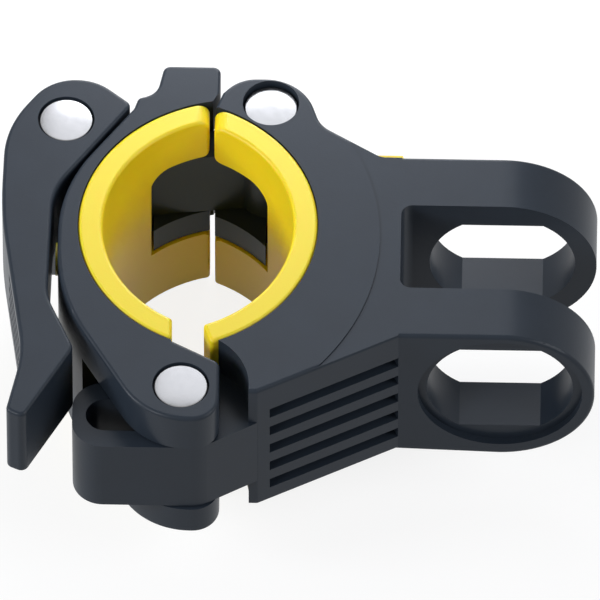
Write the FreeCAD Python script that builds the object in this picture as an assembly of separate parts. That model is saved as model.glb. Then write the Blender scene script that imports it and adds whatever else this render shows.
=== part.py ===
"""Quick-release post clamp that carries a mudguard arm.

Frame: origin on the post axis at the underside, X towards the arm clevis, Y away from the
hinge pin, Z up along the post.  Millimetres.
"""
import FreeCAD, Part
import math
import os

from FreeCAD import Vector

# Heights: the clamp is built in three layers, plate, middle and plate
CLAMP_H = 24.0
UPPER_PLATE_T = 6.3
LOWER_PLATE_T = 4.8
LAYER_GAP = 0.3
EDGE_R = 0.5

# Lining pads: two arcs of the largest post, brought together for smaller ones
PAD_BORE_R = 17.5
PAD_T = 3.2
PAD_OFFSET = 5.1
PAD_EDGE_R = 0.5
SEAT_CLEAR = 0.05
PAD_DROP = 9.2
SLIT_X = 1.4
SLIT_W = 0.7
TIP_R = 1.8
BODY_PAD_END = -69.6
JAW_PAD_END_X = -3.0
WINDOW_LEFT_X = -6.5
WINDOW_RIGHT_X = 8.8
WINDOW_TOP_DEPTH = 7.2
WINDOW_SILL_Z = 0.4
WINDOW_CORNER_R = 2.5
WINDOW_LIP_R = 1.0
WINDOW_WALL_SINK = 0.3
PLUG_R = 2.15
PLUG_Y = -1.9
PLUG_DEPTH = 5.5
PLUG_PROUD = 0.35
TAB_W = 5.2
TAB_T = 2.4
TAB_TOP_DEPTH = 1.2
TAB_DIR = 21.0
TAB_REACH = 34.0
TAB_PROUD = 1.0

# Pivots in plan
HINGE = (-1.6, -26.5)
LATCH = (9.05, 20.3)
LEVER_PIN = (-17.6, 17.1)

# Rivets
HINGE_SHANK_R = 2.5
LATCH_SHANK_R = 2.0
RIVET_HEAD_R = 3.5
RIVET_HEAD_T = 0.9
RIVET_DOME = 0.25
RIVET_SINK = 0.8
HINGE_SINK = 0.1
RECESS_CLEAR = 0.2
PIN_CLEAR = 0.05
FIXED_CLEAR = 0.02

# Toggle link
LINK_EYE_R = 4.3
LINK_W = 4.4
RUN_CLEAR = 0.4

# Tongue that carries the hinge pin
TONGUE_HALF_W = 5.2
TONGUE_END_X = -15.7
TONGUE_CORNER_R = 4.0
PIN_TRAVEL = 9.8

# Swing jaw
JAW_SWEEP_R = 15.8

# Main body
PANEL_CORNER = (8.3, -27.4, 0.6)
RELIEF_R = 8.8
PANEL_SLOTS = 5
PANEL_SLOT_PITCH = 3.7
PANEL_SLOT_H = 1.8
PANEL_SLOT_DEPTH = 2.0
PANEL_SLOT_INSET = 1.8
PANEL_SLOT_DROP = 1.1
CREASE_R = 32.8
CREASE_X = 23.7
CREASE_Y = -2.0
CLEVIS_STEP = 0.15

# Arm clevis
CLEVIS_ROOT_X = 26.4
CLEVIS_Y = -3.0
CLEVIS_GAP = 13.6
CLEVIS_CORNER_R = 1.5
EAR_T = 8.0
EAR_X = 39.6
EAR_R = 12.3
EAR_HOLE_R = 9.5
EAR_FLAT = 7.9
EAR_RECESS_R = 10.7
EAR_RECESS_DEPTH = 1.0

# Lever
HANDLE_H = 11.8
HANDLE_STEP_Y = 6.0
HANDLE_STEP_RUN = 4.0
GRIP_GROOVES = 4
GRIP_PITCH = 2.2
GRIP_GROOVE_H = 1.0
GRIP_GROOVE_DEPTH = 0.6

# Corners of the jaw's outline: x, y and corner radius
LUG_FOOT_Y = 19.6
LUG_SIDE = (2.35, 22.2)
LUG_RIGHT = (2.4, 26.3, 1.0)
LUG_LEFT = (-5.0, 26.3, 1.0)
LUG_HOLLOW = (-5.9, 21.7, 2.6)
LUG_SHELF = (-8.3, 20.9, 0.8)
NOSE_SEAT = (-8.8, 19.2, 1.0)
JAW_WALL_X = -18.15
JAW_WALL_TOP = (JAW_WALL_X, 5.9, 22.0)
JAW_WALL_LOW = (JAW_WALL_X, -11.6, 28.0)
JAW_SHOULDER = (-6.2, -32.1, 10.0)
JAW_EYE_CORNER = (3.4, -32.1, 3.5)
JAW_EYE_INNER = (3.3, -22.6, 1.2)
JAW_LIP_Y = -19.1

# Corners of the body's far side
FAR_WALL_X = 23.6
FAR_WALL_R = 2.5
FAR_HOLLOW = (15.6, 16.9, 4.0)
LATCH_SIDE = (14.2, 21.1, 6.6)
LATCH_RIGHT = (11.4, 24.45, 6.6)
LATCH_LEFT = (4.9, 24.45, 5.0)
LATCH_FOOT = (2.75, 22.0)
TONGUE_KNEE_X = 0.9

# Corners of the lever's outline
LEVER_NOSE = (-9.0, 19.75, 1.0)
LEVER_BROW = (-13.9, 23.85, 6.7)
LEVER_CROWN = (-19.8, 23.85, 6.5)
LEVER_SHOULDER = (-25.5, 15.8, 15.0)
HANDLE_BACK = (-25.7, 1.8, 60.0)
HANDLE_WAIST = (-22.3, -21.5, 20.0)
TAB_OUTER = (-24.2, -31.0, 1.0)
TAB_TIP = (-21.8, -32.1, 1.0)
HANDLE_BULGE = (-15.6, -20.6, 1.8)
HANDLE_HOLLOW = (-19.3, -12.0, 8.0)
HANDLE_NECK = (-19.05, 5.2, 10.0)
LEVER_SINK = 0.1
GRIP_START_Y = -7.0
GRIP_END_Y = -24.0

# Worked-out levels and radii
MID_LOW = LOWER_PLATE_T
MID_HIGH = CLAMP_H - UPPER_PLATE_T
CORE_LOW = MID_LOW + LAYER_GAP
CORE_HIGH = MID_HIGH - LAYER_GAP
WINDOW_TOP_Z = CLAMP_H - WINDOW_TOP_DEPTH
LINK_HIGH = WINDOW_TOP_Z - RUN_CLEAR
PLUG_Z = CLAMP_H - PLUG_DEPTH
MID_Z = CLAMP_H / 2
PAD_BACK_R = PAD_BORE_R + PAD_T
SEAT_R = PAD_BACK_R + SEAT_CLEAR
FAR = 80.0
TOL = 1e-6
BODY_ARC = (-PAD_OFFSET, 0.0)
JAW_ARC = (PAD_OFFSET, 0.0)
EAR_RIM_Z = CLAMP_H - CLEVIS_STEP - EAR_R
CLEVIS_NEAR_Y = CLEVIS_Y - CLEVIS_GAP / 2 - EAR_T
CLEVIS_FAR_Y = CLEVIS_Y + CLEVIS_GAP / 2 + EAR_T


def at(point, z):
    """Plan point at height z."""
    return Vector(point[0], point[1], z)


def polar(centre, radius, degrees):
    """Plan point at a radius and angle from a centre."""
    a = math.radians(degrees)
    return (centre[0] + radius * math.cos(a), centre[1] + radius * math.sin(a))


def outline(corners):
    """Closed plan wire through corners (x, y) or (x, y, radius), each radius tangent to both sides."""
    ends = []
    edges = []
    for i, corner in enumerate(corners):
        here = Vector(corner[0], corner[1], 0)
        radius = corner[2] if len(corner) > 2 else 0.0
        before = Vector(corners[i - 1][0], corners[i - 1][1], 0)
        after = Vector(corners[(i + 1) % len(corners)][0], corners[(i + 1) % len(corners)][1], 0)
        if radius == 0:
            ends.append((here, here))
            continue
        u = (before - here).normalize()
        v = (after - here).normalize()
        half = u.getAngle(v) / 2
        start = here + u * (radius / math.tan(half))
        end = here + v * (radius / math.tan(half))
        middle = here + (u + v).normalize() * (radius / math.sin(half) - radius)
        edges.append(Part.Arc(start, middle, end).toShape())
        ends.append((start, end))
    for i, (start, end) in enumerate(ends):
        last = ends[i - 1][1]
        if last.distanceToPoint(start) > TOL:
            edges.append(Part.LineSegment(last, start).toShape())
    return Part.Wire(Part.__sortEdges__(edges))


def prism(corners, low, high):
    """Plan outline raised between two heights."""
    face = Part.Face(outline(corners))
    face.translate(Vector(0, 0, low))
    return face.extrude(Vector(0, 0, high - low))


def disc(centre, radius, low, high):
    """Upright cylinder between two heights."""
    return Part.makeCylinder(radius, high - low, at(centre, low))


def box(x0, x1, y0, y1, z0, z1):
    """Box between opposite corners."""
    return Part.makeBox(x1 - x0, y1 - y0, z1 - z0, Vector(x0, y0, z0))


def round_rims(shape, radius, clear_of):
    """Round a prism's top and bottom edges, apart from those inside the (centre, radius) discs."""
    box_z = shape.BoundBox
    rims = []
    for edge in shape.Edges:
        middle = edge.CenterOfMass
        level = edge.BoundBox.ZLength < TOL
        end_plane = min(abs(middle.z - box_z.ZMin), abs(middle.z - box_z.ZMax)) < TOL
        hidden = any(math.dist((middle.x, middle.y), c) < r for c, r in clear_of)
        if level and end_plane and not hidden:
            rims.append(edge)
    return shape.makeFillet(radius, rims)


def bar_between(start, end, width, low, high):
    """Straight bar of a given width between two plan points."""
    dx, dy = end[0] - start[0], end[1] - start[1]
    reach = width / 2 / math.hypot(dx, dy)
    nx, ny = -dy * reach, dx * reach
    corners = [(start[0] - nx, start[1] - ny), (end[0] - nx, end[1] - ny),
               (end[0] + nx, end[1] + ny), (start[0] + nx, start[1] + ny)]
    return prism(corners, low, high)


def stadium(start, end, radius, low, high):
    """Slot-shaped prism round two centres."""
    ends = [disc(c, radius, low, high) for c in (start, end)]
    return bar_between(start, end, 2 * radius, low, high).fuse(ends).removeSplitter()


def rivet(centre, shank_r, sink):
    """Two-headed rivet: shank with a slightly domed head sunk at each end."""
    low = sink
    top = CLAMP_H - sink
    points = [(0, low), (shank_r, low), (RIVET_HEAD_R, low + RIVET_DOME),
              (RIVET_HEAD_R, low + RIVET_HEAD_T), (shank_r, low + RIVET_HEAD_T),
              (shank_r, top - RIVET_HEAD_T), (RIVET_HEAD_R, top - RIVET_HEAD_T),
              (RIVET_HEAD_R, top - RIVET_DOME), (shank_r, top), (0, top)]
    wire = Part.makePolygon([Vector(r, 0, z) for r, z in points] + [Vector(0, 0, low)])
    turned = Part.Face(wire).revolve(Vector(0, 0, 0), Vector(0, 0, 1), 360)
    turned.translate(at(centre, 0))
    return turned


def rivet_seat(centre, shank_r, sink, clear):
    """Cutter for a rivet: its shank hole and the recess for each head."""
    recess_r = RIVET_HEAD_R + RECESS_CLEAR
    depth = sink + RIVET_HEAD_T
    hole = disc(centre, shank_r + clear, 0, CLAMP_H)
    upper = disc(centre, recess_r, CLAMP_H - depth, CLAMP_H)
    lower = disc(centre, recess_r, 0, depth)
    return hole.fuse([upper, lower])


def link_line(offset):
    """Plan point pair on a line beside the link, offset to its far side."""
    dx, dy = LATCH[0] - LEVER_PIN[0], LATCH[1] - LEVER_PIN[1]
    length = math.hypot(dx, dy)
    nx, ny = -dy / length * offset, dx / length * offset
    reach = FAR / length
    start = (LEVER_PIN[0] - dx * reach + nx, LEVER_PIN[1] - dy * reach + ny)
    end = (LATCH[0] + nx, LATCH[1] + ny)
    return start, end


def link_room(high):
    """Space up to a height that the link lies in and swings out of, towards +Y."""
    start, end = link_line(-LINK_W / 2 - RUN_CLEAR)
    corners = [start, end, (end[0], FAR), (start[0], FAR)]
    return prism(corners, MID_LOW, high)


def tab_bar(clear):
    """Retaining tab of the body pad, or its slot, running out to the far slanted wall."""
    start = PAD_BORE_R + PAD_T / 2
    half = TAB_W / 2 + clear
    top = CLAMP_H - TAB_TOP_DEPTH
    bar = box(start, TAB_REACH + clear, -half, half, top - TAB_T - clear, top + clear)
    bar.rotate(Vector(0, 0, 0), Vector(0, 0, 1), TAB_DIR)
    bar.translate(at(BODY_ARC, 0))
    return bar


def pad_arc(centre, region):
    """Ring about a pad's own centre, kept inside a plan region, with a round tip and softened edges."""
    ring = disc(centre, PAD_BACK_R, -PAD_DROP, CLAMP_H).cut(disc(centre, PAD_BORE_R, -PAD_DROP, CLAMP_H))
    arc = ring.common(prism(region, -PAD_DROP, CLAMP_H))
    tip = [e for e in arc.Edges if e.CenterOfMass.y > PAD_OFFSET and e.BoundBox.XLength < TOL
           and abs(e.CenterOfMass.z - CLAMP_H) < TOL]
    arc = arc.makeFillet(TIP_R, tip)
    return arc.makeFillet(PAD_EDGE_R, arc.Edges)


def pad_window():
    """Cutter for the opening that lets the link pass the far pad ends, with eased lips at the slit."""
    left, right = SLIT_X - SLIT_W / 2, SLIT_X + SLIT_W / 2
    lip = WINDOW_LIP_R
    corners = [(WINDOW_LEFT_X, WINDOW_SILL_Z), (left, WINDOW_SILL_Z, lip), (left, WINDOW_SILL_Z - 2 * lip),
               (right, WINDOW_SILL_Z - 2 * lip), (right, WINDOW_SILL_Z, lip), (WINDOW_RIGHT_X, WINDOW_SILL_Z),
               (WINDOW_RIGHT_X, WINDOW_TOP_Z, WINDOW_CORNER_R), (right, WINDOW_TOP_Z, lip),
               (right, WINDOW_TOP_Z + 2 * lip), (left, WINDOW_TOP_Z + 2 * lip), (left, WINDOW_TOP_Z, lip),
               (WINDOW_LEFT_X, WINDOW_TOP_Z, WINDOW_CORNER_R)]
    slab = prism(corners, -FAR, -PAD_OFFSET)
    slab.rotate(Vector(0, 0, 0), Vector(1, 0, 0), 90)
    return slab


def window_wall(arc, left, right):
    """Wall that stands in a pad window under the link, set back a little from the pad's face."""
    low = WINDOW_SILL_Z + LAYER_GAP
    bore = disc(arc, PAD_BORE_R + WINDOW_WALL_SINK, low, MID_LOW)
    ring = disc(arc, SEAT_R + EDGE_R, low, MID_LOW).cut(bore)
    return ring.common(box(left, right, PAD_OFFSET, FAR, low, MID_LOW))


def link_clearance():
    """Space round the link and its body-side eye at rest, up to the pad window's top."""
    eye = disc(LATCH, LINK_EYE_R + RUN_CLEAR, MID_LOW, WINDOW_TOP_Z)
    return link_room(WINDOW_TOP_Z).fuse(eye)


def make_body_pad():
    slit = SLIT_X + SLIT_W / 2
    region = [(slit, FAR), (slit, 0), polar(BODY_ARC, PAD_BORE_R / 2, BODY_PAD_END),
              polar(BODY_ARC, FAR, BODY_PAD_END), (FAR, -FAR), (FAR, FAR)]
    pad = pad_arc(BODY_ARC, region)
    pad = pad.cut([pad_window(), link_clearance()])
    tab = tab_bar(0).common(box(0, FAR, -FAR, CLEVIS_FAR_Y + TAB_PROUD, 0, CLAMP_H))
    return pad.fuse(tab).removeSplitter()


def jaw_plug(clear):
    """Round plug that holds the jaw pad, through the jaw's wall."""
    start = JAW_ARC[0] - PAD_BORE_R - PAD_T / 2
    end = JAW_WALL_X - PLUG_PROUD - clear
    return Part.makeCylinder(PLUG_R + clear, start - end, Vector(end, PLUG_Y, PLUG_Z), Vector(1, 0, 0))


def make_jaw_pad():
    slit = SLIT_X - SLIT_W / 2
    region = [(slit, FAR), (slit, 0), (JAW_PAD_END_X, 0), (JAW_PAD_END_X, -FAR),
              (-FAR, -FAR), (-FAR, FAR)]
    pad = pad_arc(JAW_ARC, region)
    pad = pad.cut([pad_window(), link_clearance()])
    return pad.fuse(jaw_plug(0)).removeSplitter()


def make_swing_jaw():
    slit = SLIT_X - SLIT_W / 2
    corners = [(slit, PAD_BORE_R / 2), (slit, LUG_FOOT_Y), LUG_SIDE, LUG_RIGHT, LUG_LEFT,
               LUG_HOLLOW, LUG_SHELF, NOSE_SEAT, JAW_WALL_TOP, JAW_WALL_LOW, JAW_SHOULDER,
               JAW_EYE_CORNER, JAW_EYE_INNER,
               (JAW_PAD_END_X, JAW_LIP_Y), (JAW_PAD_END_X, -PAD_BORE_R / 2)]
    jaw = round_rims(prism(corners, 0, CLAMP_H), EDGE_R, [(JAW_ARC, SEAT_R + EDGE_R)])
    jaw = jaw.cut(disc(JAW_ARC, SEAT_R, 0, CLAMP_H))
    jaw = jaw.fuse(window_wall(JAW_ARC, WINDOW_LEFT_X + LAYER_GAP, slit)).removeSplitter()
    jaw = jaw.cut(disc(HINGE, JAW_SWEEP_R, MID_LOW, MID_HIGH))
    jaw = jaw.cut(link_room(MID_HIGH))
    jaw = jaw.cut(rivet_seat(HINGE, HINGE_SHANK_R, HINGE_SINK, FIXED_CLEAR))
    return jaw.cut(jaw_plug(SEAT_CLEAR))


def make_toggle_link():
    pins = (LEVER_PIN, LATCH)
    bar = bar_between(LEVER_PIN, LATCH, LINK_W, CORE_LOW, LINK_HIGH)
    eyes = [disc(pin, LINK_EYE_R, CORE_LOW, LINK_HIGH) for pin in pins]
    holes = [disc(pin, LATCH_SHANK_R + PIN_CLEAR, CORE_LOW, LINK_HIGH) for pin in pins]
    return bar.fuse(eyes).removeSplitter().cut(holes)


def make_lever():
    corners = [LEVER_NOSE, LEVER_BROW, LEVER_CROWN, LEVER_SHOULDER,
               HANDLE_BACK, HANDLE_WAIST, TAB_OUTER, TAB_TIP, HANDLE_BULGE, HANDLE_HOLLOW, HANDLE_NECK]
    lever = round_rims(prism(corners, 0, CLAMP_H), EDGE_R, [])
    under = CLAMP_H - HANDLE_H
    side = [Vector(-FAR, -FAR, 0), Vector(-FAR, HANDLE_STEP_Y + HANDLE_STEP_RUN, 0),
            Vector(-FAR, HANDLE_STEP_Y, under), Vector(-FAR, -FAR, under), Vector(-FAR, -FAR, 0)]
    lever = lever.cut(Part.Face(Part.makePolygon(side)).extrude(Vector(2 * FAR, 0, 0)))
    fork = disc(LEVER_PIN, LINK_EYE_R + RUN_CLEAR, MID_LOW, MID_HIGH)
    mouth_y = LEVER_PIN[1] - LINK_W / 2 - RUN_CLEAR
    mouth = box(LEVER_PIN[0] - LATCH_SHANK_R, FAR, mouth_y, FAR, MID_LOW, MID_HIGH)
    lever = lever.cut([fork, mouth])
    lever = lever.cut(rivet_seat(LEVER_PIN, LATCH_SHANK_R, LEVER_SINK, FIXED_CLEAR))
    return lever.cut(grip_grooves())


def grip_grooves():
    """Level grooves for the thumb along the handle's outer face."""
    share = (GRIP_START_Y - HANDLE_BACK[1]) / (HANDLE_WAIST[1] - HANDLE_BACK[1])
    start_x = HANDLE_BACK[0] + share * (HANDLE_WAIST[0] - HANDLE_BACK[0]) + GRIP_GROOVE_DEPTH
    waist = (HANDLE_WAIST[0] + GRIP_GROOVE_DEPTH, HANDLE_WAIST[1])
    corners = [(-FAR, GRIP_START_Y), (start_x, GRIP_START_Y), waist,
               (waist[0], GRIP_END_Y), (-FAR, GRIP_END_Y)]
    middle = CLAMP_H - HANDLE_H / 2
    first = middle - (GRIP_GROOVES - 1) * GRIP_PITCH / 2
    grooves = []
    for i in range(GRIP_GROOVES):
        low = first + i * GRIP_PITCH - GRIP_GROOVE_H / 2
        grooves.append(prism(corners, low, low + GRIP_GROOVE_H))
    return Part.makeCompound(grooves)


def make_tongue():
    """Middle-layer arm that carries the hinge pin in its slot."""
    near = HINGE[1] - TONGUE_HALF_W
    far = HINGE[1] + TONGUE_HALF_W
    r = TONGUE_CORNER_R
    corners = [(TONGUE_END_X, far, r), (TONGUE_END_X, near, r), (TONGUE_KNEE_X, near, r),
               PANEL_CORNER[:2], (PANEL_CORNER[0], far)]
    arm = prism(corners, CORE_LOW, CORE_HIGH)
    left_seat = (HINGE[0] - PIN_TRAVEL, HINGE[1])
    slot = stadium(left_seat, HINGE, HINGE_SHANK_R + PIN_CLEAR, CORE_LOW, CORE_HIGH)
    return arm, slot


def clevis_block():
    """Both ears in one: a bar with a round end, seen from the side, with softened outer rims."""
    low, high = CLEVIS_STEP, CLAMP_H - CLEVIS_STEP
    root = CLEVIS_ROOT_X - EAR_T
    y = CLEVIS_NEAR_Y
    sole = Vector(EAR_X, y, EAR_RIM_Z - EAR_R)
    edges = [Part.LineSegment(Vector(root, y, low), sole).toShape(),
             Part.Arc(sole, Vector(EAR_X + EAR_R, y, EAR_RIM_Z), Vector(EAR_X, y, high)).toShape(),
             Part.LineSegment(Vector(EAR_X, y, high), Vector(root, y, high)).toShape(),
             Part.LineSegment(Vector(root, y, high), Vector(root, y, low)).toShape()]
    bar = Part.Face(Part.Wire(edges)).extrude(Vector(0, CLEVIS_FAR_Y - y, 0))
    rims = [e for e in bar.Edges if e.BoundBox.YLength < TOL and e.BoundBox.XLength > TOL]
    return bar.makeFillet(EDGE_R, rims)


def ear_cutters():
    """Clevis slot, the flatted hole through both ears and the recess on each outer face."""
    half = CLEVIS_GAP / 2
    slot = box(CLEVIS_ROOT_X, FAR, CLEVIS_Y - half, CLEVIS_Y + half, -FAR, FAR)
    root = [e for e in slot.Edges if e.BoundBox.ZLength > TOL and e.CenterOfMass.x < EAR_X]
    slot = slot.makeFillet(CLEVIS_CORNER_R, root)
    along = Vector(0, 1, 0)
    width = CLEVIS_FAR_Y - CLEVIS_NEAR_Y
    hole = Part.makeCylinder(EAR_HOLE_R, width, Vector(EAR_X, CLEVIS_NEAR_Y, MID_Z), along)
    hole = hole.common(box(0, FAR, -FAR, FAR, MID_Z - EAR_FLAT, MID_Z + EAR_FLAT))
    depth = EAR_RECESS_DEPTH
    near = Part.makeCylinder(EAR_RECESS_R, depth, Vector(EAR_X, CLEVIS_NEAR_Y, MID_Z), along)
    far = Part.makeCylinder(EAR_RECESS_R, depth, Vector(EAR_X, CLEVIS_FAR_Y - depth, MID_Z), along)
    return [slot, hole, near, far]


def panel_slots():
    """Level slots in the near slanted panel."""
    end = (CLEVIS_ROOT_X, CLEVIS_NEAR_Y)
    dx, dy = end[0] - PANEL_CORNER[0], end[1] - PANEL_CORNER[1]
    length = math.hypot(dx, dy)
    angle = math.degrees(math.atan2(dy, dx))
    slots = []
    for i in range(PANEL_SLOTS):
        middle = MID_Z - PANEL_SLOT_DROP + (i - (PANEL_SLOTS - 1) / 2) * PANEL_SLOT_PITCH
        z = middle - PANEL_SLOT_H / 2
        slot = box(PANEL_SLOT_INSET, length, -PANEL_SLOT_DEPTH, PANEL_SLOT_DEPTH, z, z + PANEL_SLOT_H)
        slot.rotate(Vector(0, 0, 0), Vector(0, 0, 1), angle)
        slot.translate(at(PANEL_CORNER, 0))
        slots.append(slot)
    return slots


def make_main_body():
    slit = SLIT_X + SLIT_W / 2
    corners = [(slit, 0), (0, -PAD_BORE_R), (0, PANEL_CORNER[1]), PANEL_CORNER,
               (CLEVIS_ROOT_X, CLEVIS_NEAR_Y), (CLEVIS_ROOT_X, CLEVIS_FAR_Y),
               (FAR_WALL_X, CLEVIS_FAR_Y, FAR_WALL_R), FAR_HOLLOW, LATCH_SIDE,
               LATCH_RIGHT, LATCH_LEFT, LATCH_FOOT,
               (slit, PAD_BACK_R - PAD_T / 2)]
    root = (CLEVIS_ROOT_X, CLEVIS_Y)
    block = round_rims(prism(corners, 0, CLAMP_H), EDGE_R,
                       [(BODY_ARC, SEAT_R + 2 * EDGE_R), (HINGE, RELIEF_R), (root, EAR_T)])
    crease = (CREASE_X - CREASE_R, CREASE_Y)
    boss = disc(crease, CREASE_R, -FAR, FAR)
    inner = box(-FAR, FAR, -FAR, FAR, CLEVIS_STEP, CLAMP_H - CLEVIS_STEP)
    block = block.common(boss.fuse(inner))
    body = block.fuse(clevis_block()).removeSplitter()
    body = body.cut(disc(BODY_ARC, SEAT_R, 0, CLAMP_H))
    body = body.fuse(window_wall(BODY_ARC, slit, WINDOW_RIGHT_X - LAYER_GAP)).removeSplitter()
    reliefs = [disc(HINGE, RELIEF_R, 0, CORE_LOW), disc(HINGE, RELIEF_R, CORE_HIGH, CLAMP_H)]
    body = body.cut(reliefs)
    eye_room = LINK_EYE_R + RUN_CLEAR
    room = box(-FAR, LATCH[0] + eye_room, LATCH[1] - eye_room, FAR, MID_LOW, MID_HIGH)
    body = body.cut(room)
    arm, slot = make_tongue()
    body = body.fuse(arm).removeSplitter().cut(slot)
    body = body.cut(ear_cutters())
    body = body.cut(panel_slots())
    body = body.cut(tab_bar(SEAT_CLEAR))
    return body.cut(rivet_seat(LATCH, LATCH_SHANK_R, RIVET_SINK, FIXED_CLEAR))


def export(name, shape):
    """Check that a piece is one sound solid and write it."""
    if not shape.isValid() or len(shape.Solids) != 1:
        raise ValueError("%s isn't one sound solid" % name)
    print("%s %.1f mm3" % (name, shape.Volume))
    shape.Solids[0].exportStep("parts/%s.step" % name)


os.makedirs("parts", exist_ok=True)
export("main_body", make_main_body())
export("swing_jaw", make_swing_jaw())
export("body_pad", make_body_pad())
export("jaw_pad", make_jaw_pad())
export("toggle_link", make_toggle_link())
export("lever", make_lever())
export("hinge_rivet", rivet(HINGE, HINGE_SHANK_R, HINGE_SINK))
export("link_rivet", rivet(LATCH, LATCH_SHANK_R, RIVET_SINK))
export("lever_rivet", rivet(LEVER_PIN, LATCH_SHANK_R, LEVER_SINK))
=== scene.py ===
"""Looks of a quick-release mudguard mount: moulded nylon clamp, rubber lining pads and pressed rivets."""
import math

import bmesh
import bpy
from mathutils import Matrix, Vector


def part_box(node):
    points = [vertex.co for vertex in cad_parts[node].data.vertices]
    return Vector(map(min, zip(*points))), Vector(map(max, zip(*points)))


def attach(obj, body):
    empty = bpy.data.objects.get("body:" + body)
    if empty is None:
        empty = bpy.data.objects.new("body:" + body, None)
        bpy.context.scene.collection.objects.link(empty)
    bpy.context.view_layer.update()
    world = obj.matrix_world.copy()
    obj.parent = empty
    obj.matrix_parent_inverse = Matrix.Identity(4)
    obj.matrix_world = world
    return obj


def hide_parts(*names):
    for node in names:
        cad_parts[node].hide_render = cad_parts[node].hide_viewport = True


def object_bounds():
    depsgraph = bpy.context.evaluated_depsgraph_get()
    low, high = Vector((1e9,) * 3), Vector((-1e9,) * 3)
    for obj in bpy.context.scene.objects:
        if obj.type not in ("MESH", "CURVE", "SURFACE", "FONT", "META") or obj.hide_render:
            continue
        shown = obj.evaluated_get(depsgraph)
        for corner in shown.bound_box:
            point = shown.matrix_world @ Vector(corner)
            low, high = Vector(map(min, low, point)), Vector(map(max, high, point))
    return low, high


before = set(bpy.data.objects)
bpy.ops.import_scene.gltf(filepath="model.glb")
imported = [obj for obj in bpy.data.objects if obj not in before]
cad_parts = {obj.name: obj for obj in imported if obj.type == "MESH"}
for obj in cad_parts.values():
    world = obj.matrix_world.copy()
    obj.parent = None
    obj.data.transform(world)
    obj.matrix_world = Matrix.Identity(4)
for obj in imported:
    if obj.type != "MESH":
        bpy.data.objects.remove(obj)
CAD_BOX = [list(corner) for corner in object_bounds()]

bl_info = {
    "name": "Mudguard Mount",
    "version": (1, 0, 0),
    "blender": (4, 5, 0),
    "location": "View3D > Sidebar > Mount",
    "description": "Dresses the clamp, its pads and rivets, and sets up the studio",
    "category": "Object",
}

MM = 0.001
WHITE = (1.0, 1.0, 1.0, 1.0)

NYLON_NODES = ("main_body", "swing_jaw", "lever", "toggle_link")
PAD_NODES = ("body_pad", "jaw_pad")
RIVET_BODIES = {"hinge_rivet": "jaw", "link_rivet": "clamp", "lever_rivet": "lever"}

# Shank radii of the rivets, hidden in their bores
RIVET_SHANKS = {"hinge_rivet": 2.5 * MM, "link_rivet": 2.0 * MM, "lever_rivet": 2.0 * MM}
# Steps in the dome and in the rim of a rivet head's section
HEAD_STEPS = 6
# Edges of a rivet that turn by more than this stay sharp
SHARP_ANGLE = math.radians(40)
# Points of a turned rivet that lie closer than this become one
MERGE_DISTANCE = 0.001 * MM

# Octaves of the noise in clouds, in fine grain and in press marks
CLOUD_DETAIL = 3.0
GRAIN_DETAIL = 2.0
RUB_DETAIL = 4.0

NYLON_IOR = 1.53
RUBBER_IOR = 1.5
# Share of light that scatters inside the rubber, and how far red, green and blue travel by comparison
RUBBER_SCATTER = 0.3
RUBBER_REACH = (1.0, 0.35, 0.02)

# Clear space under the part, so that its lowest faces and the floor don't share a plane
FLOOR_GAP = 0.05 * MM
# Linear grey that takes the shadow, and linear white that the paper shows of itself
PAPER_DIFFUSE = (0.2, 0.2, 0.2, 1.0)
PAPER_GLOW = (0.85, 0.85, 0.85, 1.0)
FILL_COLOUR = "#e6edf5"
FILL_STRENGTH = 0.1
# How far the camera sees in metres, well past the part from where the long lens stands
VIEW_DEPTH = 100.0

# Studio lights: name, offset from the part's middle (m), width (m), power (W), colour
LAMPS = (
    ("top_back", (0.010, 0.210, 0.270), 0.18, 0.20, "#f8faff"),
    ("back", (-0.002, 0.105, 0.056), 0.07, 0.105, "#f8faff"),
    ("left", (-0.38, -0.08, 0.19), 0.12, 0.8, "#fbfcff"),
    ("right", (0.37, -0.12, 0.25), 0.25, 0.75, "#fbfcff"),
    ("left_front", (-0.27, -0.27, 0.20), 0.12, 0.5, "#fbfcff"),
)

# Sockets of the Mix node when it mixes colours
MIX_FACTOR, MIX_A, MIX_B, MIX_RESULT = 0, 6, 7, 2


def linear(code):
    """Linear RGB of an sRGB hex colour such as #2c3138."""
    channels = [int(code[i:i + 2], 16) / 255 for i in (1, 3, 5)]
    return tuple(c / 12.92 if c <= 0.04045 else ((c + 0.055) / 1.055) ** 2.4 for c in channels)


def add(tree, kind, inputs, **settings):
    """Add a node: settings are its properties, inputs give a socket to link or a value for each input."""
    node = tree.nodes.new(kind)
    for name, value in settings.items():
        setattr(node, name, value)
    for name, value in inputs.items():
        if isinstance(value, bpy.types.NodeSocket):
            tree.links.new(value, node.inputs[name])
        else:
            node.inputs[name].default_value = value
    return node


def new_material(name):
    """Empty node material, with its tree."""
    material = bpy.data.materials.new(name)
    material.use_nodes = True
    material.node_tree.nodes.clear()
    return material, material.node_tree


def opaque(colour):
    """Linear RGB as RGBA."""
    return (*colour, 1.0)


def noise(tree, place, size, detail):
    """Noise with features of about the given size in metres."""
    node = add(tree, "ShaderNodeTexNoise", {"Vector": place, "Scale": 1 / size, "Detail": detail})
    return node.outputs["Fac"]


def blend(tree, pattern, low, high):
    """Colour that runs from low to high with a pattern."""
    node = add(tree, "ShaderNodeMix",
               {MIX_FACTOR: pattern, MIX_A: opaque(low), MIX_B: opaque(high)}, data_type="RGBA")
    return node.outputs[MIX_RESULT]


def varied(tree, pattern, mean, spread):
    """Value that varies about its mean with a pattern."""
    node = add(tree, "ShaderNodeMapRange",
               {"Value": pattern, "To Min": mean - spread, "To Max": mean + spread})
    return node.outputs["Result"]


def relief(tree, pattern, strength, depth):
    """Normal that follows a pattern's fine relief."""
    node = add(tree, "ShaderNodeBump", {"Height": pattern, "Strength": strength, "Distance": depth})
    return node.outputs["Normal"]


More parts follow.
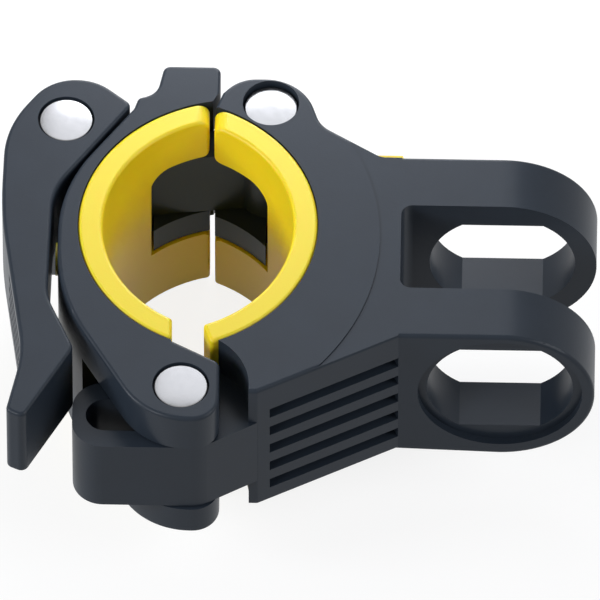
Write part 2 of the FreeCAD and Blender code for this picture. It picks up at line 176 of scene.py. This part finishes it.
def surface(tree, inputs):
    """Principled shader as the material's surface."""
    shader = add(tree, "ShaderNodeBsdfPrincipled", inputs)
    add(tree, "ShaderNodeOutputMaterial", {"Surface": shader.outputs["BSDF"]})


def moulded_nylon(finish):
    """Glass-filled nylon from a spark-eroded mould.

    To the eye it is charcoal, faintly cloudy where the glass comes up to the skin.  A fine matt grain,
    drawn coarser than the real 0.1 mm, spreads every highlight into a soft sheen, and a small share of
    smooth resin on the skin gives that sheen a clearer core.
    """
    material, tree = new_material("glass_filled_nylon_moulded")
    place = add(tree, "ShaderNodeTexCoord", {}).outputs["Object"]
    cloud = noise(tree, place, finish.cloud_size, CLOUD_DETAIL)
    grain = noise(tree, place, finish.grain_size, GRAIN_DETAIL)
    surface(tree, {
        "Base Color": blend(tree, cloud, finish.nylon_dark, finish.nylon_light),
        "Roughness": varied(tree, cloud, finish.nylon_rough, finish.rough_spread),
        "Normal": relief(tree, grain, finish.grain_strength, finish.grain_size),
        "IOR": NYLON_IOR,
        "Specular IOR Level": finish.nylon_gloss,
        "Coat Weight": finish.nylon_skin,
        "Coat Roughness": finish.nylon_skin_rough,
    })
    return material


def pad_rubber(finish):
    """Thermoplastic rubber from a polished mould.

    To the eye it is a clear yellow that lets a little light in, with a satin skin and faint flow clouds.
    """
    material, tree = new_material("thermoplastic_rubber_moulded")
    place = add(tree, "ShaderNodeTexCoord", {}).outputs["Object"]
    cloud = noise(tree, place, finish.flow_size, CLOUD_DETAIL)
    skin = noise(tree, place, finish.skin_size, GRAIN_DETAIL)
    surface(tree, {
        "Base Color": blend(tree, cloud, finish.pad_deep, finish.pad_bright),
        "Roughness": varied(tree, cloud, finish.pad_rough, finish.rough_spread),
        "Normal": relief(tree, skin, finish.skin_strength, finish.skin_size),
        "IOR": RUBBER_IOR,
        "Subsurface Weight": RUBBER_SCATTER,
        "Subsurface Radius": RUBBER_REACH,
        "Subsurface Scale": finish.pad_depth,
    })
    return material


def plated_steel(finish):
    """Nickel-plated steel pressed cold.

    To the eye it is a bright satin grey, with the faint rub marks that the press tool leaves.
    """
    material, tree = new_material("nickel_plated_steel_pressed")
    place = add(tree, "ShaderNodeTexCoord", {}).outputs["Object"]
    rub = noise(tree, place, finish.rub_size, RUB_DETAIL)
    surface(tree, {
        "Base Color": blend(tree, rub, finish.steel_dull, finish.steel_bright),
        "Roughness": varied(tree, rub, finish.steel_rough, finish.rough_spread),
        "Normal": relief(tree, rub, finish.rub_strength, finish.rub_size),
        "Metallic": 1.0,
    })
    return material


def dress(obj, material):
    """Give an object one material."""
    obj.data.materials.clear()
    obj.data.materials.append(material)


def colour_prop(name, description, code):
    """Colour setting whose default is an sRGB hex value."""
    return bpy.props.FloatVectorProperty(name=name, description=description, default=linear(code),
                                         size=3, min=0, max=1, subtype="COLOR")


def length_prop(name, description, size_mm):
    """Length setting whose default is given in millimetres."""
    return bpy.props.FloatProperty(name=name, description=description, default=size_mm * MM,
                                   unit="LENGTH", precision=5)


def share_prop(name, description, default):
    """Setting from 0 to 1."""
    return bpy.props.FloatProperty(name=name, description=description, default=default,
                                   min=0, max=1, subtype="FACTOR")


def angle_prop(name, description, degrees):
    """Angle setting whose default is given in degrees."""
    return bpy.props.FloatProperty(name=name, description=description, default=math.radians(degrees),
                                   subtype="ANGLE")


class MountFinish(bpy.types.PropertyGroup):
    """Colours and skins of the nylon, the rubber and the steel"""
    nylon_dark: colour_prop("Nylon dark", "Darker charcoal of the nylon", "#262d36")
    nylon_light: colour_prop("Nylon light", "Lighter charcoal of the nylon", "#2d353f")
    nylon_rough: share_prop("Nylon roughness", "Mean roughness of the nylon", 0.45)
    nylon_gloss: share_prop("Nylon gloss", "Specular level of the nylon's matt skin", 0.08)
    nylon_skin: share_prop("Nylon skin", "Share of smooth resin that comes up to the skin", 0.2)
    nylon_skin_rough: share_prop("Nylon skin roughness", "Roughness of the smooth resin", 0.25)
    cloud_size: length_prop("Clouding", "Size of the faint clouds in the nylon", 6.0)
    grain_size: length_prop("Grain", "Grain of the nylon's skin", 0.25)
    grain_strength: share_prop("Grain strength", "Depth share of the grain", 0.05)
    pad_deep: colour_prop("Pad deep", "Deeper yellow of the pads", "#f7db1c")
    pad_bright: colour_prop("Pad bright", "Brighter yellow of the pads", "#f8e124")
    pad_rough: share_prop("Pad roughness", "Mean roughness of the pads", 0.42)
    pad_depth: length_prop("Pad depth", "How far light travels in the rubber", 0.8)
    flow_size: length_prop("Flow clouds", "Size of the faint flow clouds in the rubber", 6.0)
    skin_size: length_prop("Skin", "Grain of the rubber's skin", 0.3)
    skin_strength: share_prop("Skin strength", "Depth share of the rubber's grain", 0.04)
    steel_dull: colour_prop("Steel dull", "Duller nickel", "#858688")
    steel_bright: colour_prop("Steel bright", "Brighter nickel", "#909092")
    steel_rough: share_prop("Steel roughness", "Mean roughness of the rivets", 0.22)
    rub_size: length_prop("Rub marks", "Size of the press marks", 1.2)
    rub_strength: share_prop("Rub strength", "Depth share of the press marks", 0.006)
    rough_spread: share_prop("Roughness spread", "Variation of each roughness about its mean", 0.05)


class MountRivets(bpy.types.PropertyGroup):
    """Shape of the rivets' heads"""
    head_depth: length_prop("Head depth", "Thickness of a rivet head", 0.9)
    dome: length_prop("Dome", "Rise of a rivet head at its middle", 0.15)
    edge: length_prop("Edge", "Rounding of a rivet head's rim", 0.2)
    segments: bpy.props.IntProperty(name="Segments", description="Steps round a rivet", default=96, min=12)


class MountStage(bpy.types.PropertyGroup):
    """Camera and floor"""
    azimuth: angle_prop("Azimuth", "Camera's turn to the right of the front", 1.2)
    elevation: angle_prop("Elevation", "Camera's height above the horizon", 52)
    lens: bpy.props.FloatProperty(
        name="Lens", description="Focal length, long for a nearly parallel view", default=1400,
        unit="CAMERA")
    frame_width: length_prop("Frame width", "Width of the picture at the object", 78.0)
    right: length_prop("Right", "Picture centre to the right of the post axis", 13.26)
    down: length_prop("Down", "Picture centre below the post's top centre", 9.88)
    floor_size: length_prop("Floor size", "Half width of the paper floor", 3000.0)


class MOUNT_OT_nylon(bpy.types.Operator):
    """Moulded nylon finish of the body, jaw, lever and link"""
    bl_idname = "mount.nylon"
    bl_label = "Nylon Parts"

    def execute(self, context):
        material = moulded_nylon(context.scene.mount_finish)
        for node in NYLON_NODES:
            dress(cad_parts[node], material)
        return {"FINISHED"}


class MOUNT_OT_pads(bpy.types.Operator):
    """Rubber finish of the two lining pads"""
    bl_idname = "mount.pads"
    bl_label = "Lining Pads"

    def execute(self, context):
        material = pad_rubber(context.scene.mount_finish)
        for node in PAD_NODES:
            dress(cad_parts[node], material)
        return {"FINISHED"}


def head_profile(radius, settings):
    """Half section of a rivet head as (radius, depth below its top): a shallow dome and a round rim."""
    flat = radius - settings.edge
    steps = range(HEAD_STEPS + 1)
    points = [(flat * i / HEAD_STEPS, settings.dome * (i / HEAD_STEPS) ** 2) for i in steps]
    for i in steps[1:]:
        turn = math.radians(90 * i / HEAD_STEPS)
        points.append((flat + settings.edge * math.sin(turn),
                       settings.dome + settings.edge * (1 - math.cos(turn))))
    points.append((radius, settings.head_depth))
    return points


def turned_rivet(node, settings):
    """Rivet turned about its axis, as tall and as wide as its solid, with a shaped head at each end."""
    low, high = (Vector(corner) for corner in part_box(node))
    radius = (high.x - low.x) / 2
    head = head_profile(radius, settings)
    shank = RIVET_SHANKS[node]
    upper = [(r, high.z - d) for r, d in head] + [(shank, high.z - settings.head_depth)]
    lower = [(shank, low.z + settings.head_depth)] + [(r, low.z + d) for r, d in reversed(head)]
    shape = bmesh.new()
    line = [shape.verts.new((r, 0, z)) for r, z in upper + lower]
    edges = [shape.edges.new(pair) for pair in zip(line, line[1:])]
    bmesh.ops.spin(shape, geom=line + edges, axis=(0, 0, 1), cent=(0, 0, 0), angle=math.tau,
                   steps=settings.segments)
    bmesh.ops.remove_doubles(shape, verts=shape.verts, dist=MERGE_DISTANCE)
    bmesh.ops.recalc_face_normals(shape, faces=shape.faces)
    middle = (low + high) / 2
    bmesh.ops.translate(shape, verts=shape.verts, vec=(middle.x, middle.y, 0))
    for face in shape.faces:
        face.smooth = True
    mesh = bpy.data.meshes.new(node + "_turned")
    shape.to_mesh(mesh)
    shape.free()
    mesh.set_sharp_from_angle(angle=SHARP_ANGLE)
    piece = bpy.data.objects.new(node + "_turned", mesh)
    bpy.context.scene.collection.objects.link(piece)
    return piece


class MOUNT_OT_rivets(bpy.types.Operator):
    """Three rivets with shaped heads, in plated steel"""
    bl_idname = "mount.rivets"
    bl_label = "Rivets"

    def execute(self, context):
        material = plated_steel(context.scene.mount_finish)
        for node, body in RIVET_BODIES.items():
            piece = turned_rivet(node, context.scene.mount_rivets)
            dress(piece, material)
            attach(piece, body)
            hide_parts(node)
        return {"FINISHED"}


def soft_box(name, offset, size, power, colour):
    """Square studio light at an offset in metres from the object's middle, facing it."""
    middle = (Vector(CAD_BOX[0]) + Vector(CAD_BOX[1])) / 2
    data = bpy.data.lights.new(name, "AREA")
    data.size = size
    data.energy = power
    data.color = linear(colour)
    lamp = bpy.data.objects.new(name, data)
    lamp.location = middle + Vector(offset)
    lamp.rotation_euler = (-Vector(offset)).to_track_quat("-Z", "Y").to_euler()
    lamp.visible_camera = False
    bpy.context.scene.collection.objects.link(lamp)


def seen_directly(tree):
    """1 for rays from the camera, a gloss or a clear surface, which see the white background."""
    path = add(tree, "ShaderNodeLightPath", {})
    first = add(tree, "ShaderNodeMath",
                {0: path.outputs["Is Camera Ray"], 1: path.outputs["Is Glossy Ray"]},
                operation="MAXIMUM")
    both = add(tree, "ShaderNodeMath",
               {0: first.outputs[0], 1: path.outputs["Is Transmission Ray"]}, operation="MAXIMUM")
    return both.outputs[0]


def paper_floor():
    """White paper sweep: mostly its own white to the eye, with a share of diffuse that keeps the shadow."""
    material, tree = new_material("white_paper_matt")
    diffuse = add(tree, "ShaderNodeBsdfDiffuse", {"Color": PAPER_DIFFUSE})
    glow = add(tree, "ShaderNodeEmission", {"Color": PAPER_GLOW, "Strength": seen_directly(tree)})
    both = add(tree, "ShaderNodeAddShader", {0: diffuse.outputs[0], 1: glow.outputs[0]})
    add(tree, "ShaderNodeOutputMaterial", {"Surface": both.outputs[0]})
    return material


def add_floor(stage):
    """Paper just under the object's lowest point."""
    mesh = bpy.data.meshes.new("floor")
    shape = bmesh.new()
    bmesh.ops.create_grid(shape, x_segments=1, y_segments=1, size=stage.floor_size)
    shape.to_mesh(mesh)
    shape.free()
    floor = bpy.data.objects.new("floor", mesh)
    floor.location.z = CAD_BOX[0][2] - FLOOR_GAP
    dress(floor, paper_floor())
    bpy.context.scene.collection.objects.link(floor)


def add_world(scene):
    """Soft fill all round, white where the eye or a gloss sees it."""
    world = bpy.data.worlds.new("studio")
    world.use_nodes = True
    tree = world.node_tree
    tree.nodes.clear()
    soft = add(tree, "ShaderNodeBackground",
               {"Color": opaque(linear(FILL_COLOUR)), "Strength": FILL_STRENGTH})
    white = add(tree, "ShaderNodeBackground", {"Color": WHITE, "Strength": 1.0})
    mix = add(tree, "ShaderNodeMixShader",
              {0: seen_directly(tree), 1: soft.outputs[0], 2: white.outputs[0]})
    add(tree, "ShaderNodeOutputWorld", {"Surface": mix.outputs[0]})
    scene.world = world


def add_camera(scene, stage):
    """Long lens looking down at the clamp, framed as wide as stage.frame_width at the object."""
    a, e = stage.azimuth, stage.elevation
    right = Vector((math.cos(a), math.sin(a), 0))
    ahead = Vector((-math.sin(a), math.cos(a), 0))
    up = ahead * math.sin(e) + Vector((0, 0, math.cos(e)))
    look = ahead * math.cos(e) - Vector((0, 0, math.sin(e)))
    target = Vector((0, 0, CAD_BOX[1][2])) + right * stage.right - up * stage.down
    data = bpy.data.cameras.new("camera")
    data.lens = stage.lens
    data.clip_end = VIEW_DEPTH
    camera = bpy.data.objects.new("camera", data)
    camera.location = target - look * (stage.frame_width * stage.lens / data.sensor_width)
    camera.rotation_euler = look.to_track_quat("-Z", "Y").to_euler()
    scene.collection.objects.link(camera)
    scene.camera = camera


class MOUNT_OT_stage(bpy.types.Operator):
    """Floor, lights, world and camera"""
    bl_idname = "mount.stage"
    bl_label = "Stage"

    def execute(self, context):
        scene = context.scene
        add_floor(scene.mount_stage)
        for lamp in LAMPS:
            soft_box(*lamp)
        add_world(scene)
        scene.view_settings.view_transform = "Standard"
        add_camera(scene, scene.mount_stage)
        return {"FINISHED"}


class MOUNT_PT_panel(bpy.types.Panel):
    """Lists the mount's operators and settings"""
    bl_label = "Mudguard Mount"
    bl_idname = "MOUNT_PT_panel"
    bl_space_type = "VIEW_3D"
    bl_region_type = "UI"
    bl_category = "Mount"

    def draw(self, context):
        for step in STEPS:
            self.layout.operator(step.bl_idname)
        scene = context.scene
        for group in (scene.mount_finish, scene.mount_rivets, scene.mount_stage):
            for name in group.__annotations__:
                self.layout.prop(group, name)


STEPS = (MOUNT_OT_nylon, MOUNT_OT_pads, MOUNT_OT_rivets, MOUNT_OT_stage)
CLASSES = (MountFinish, MountRivets, MountStage, *STEPS, MOUNT_PT_panel)


def register():
    for cls in CLASSES:
        bpy.utils.register_class(cls)
    bpy.types.Scene.mount_finish = bpy.props.PointerProperty(type=MountFinish)
    bpy.types.Scene.mount_rivets = bpy.props.PointerProperty(type=MountRivets)
    bpy.types.Scene.mount_stage = bpy.props.PointerProperty(type=MountStage)


def unregister():
    del bpy.types.Scene.mount_stage
    del bpy.types.Scene.mount_rivets
    del bpy.types.Scene.mount_finish
    for cls in reversed(CLASSES):
        bpy.utils.unregister_class(cls)


def main():
    register()
    bpy.ops.mount.nylon()
    bpy.ops.mount.pads()
    bpy.ops.mount.rivets()
    bpy.ops.mount.stage()


if __name__ == "__main__":
    main()
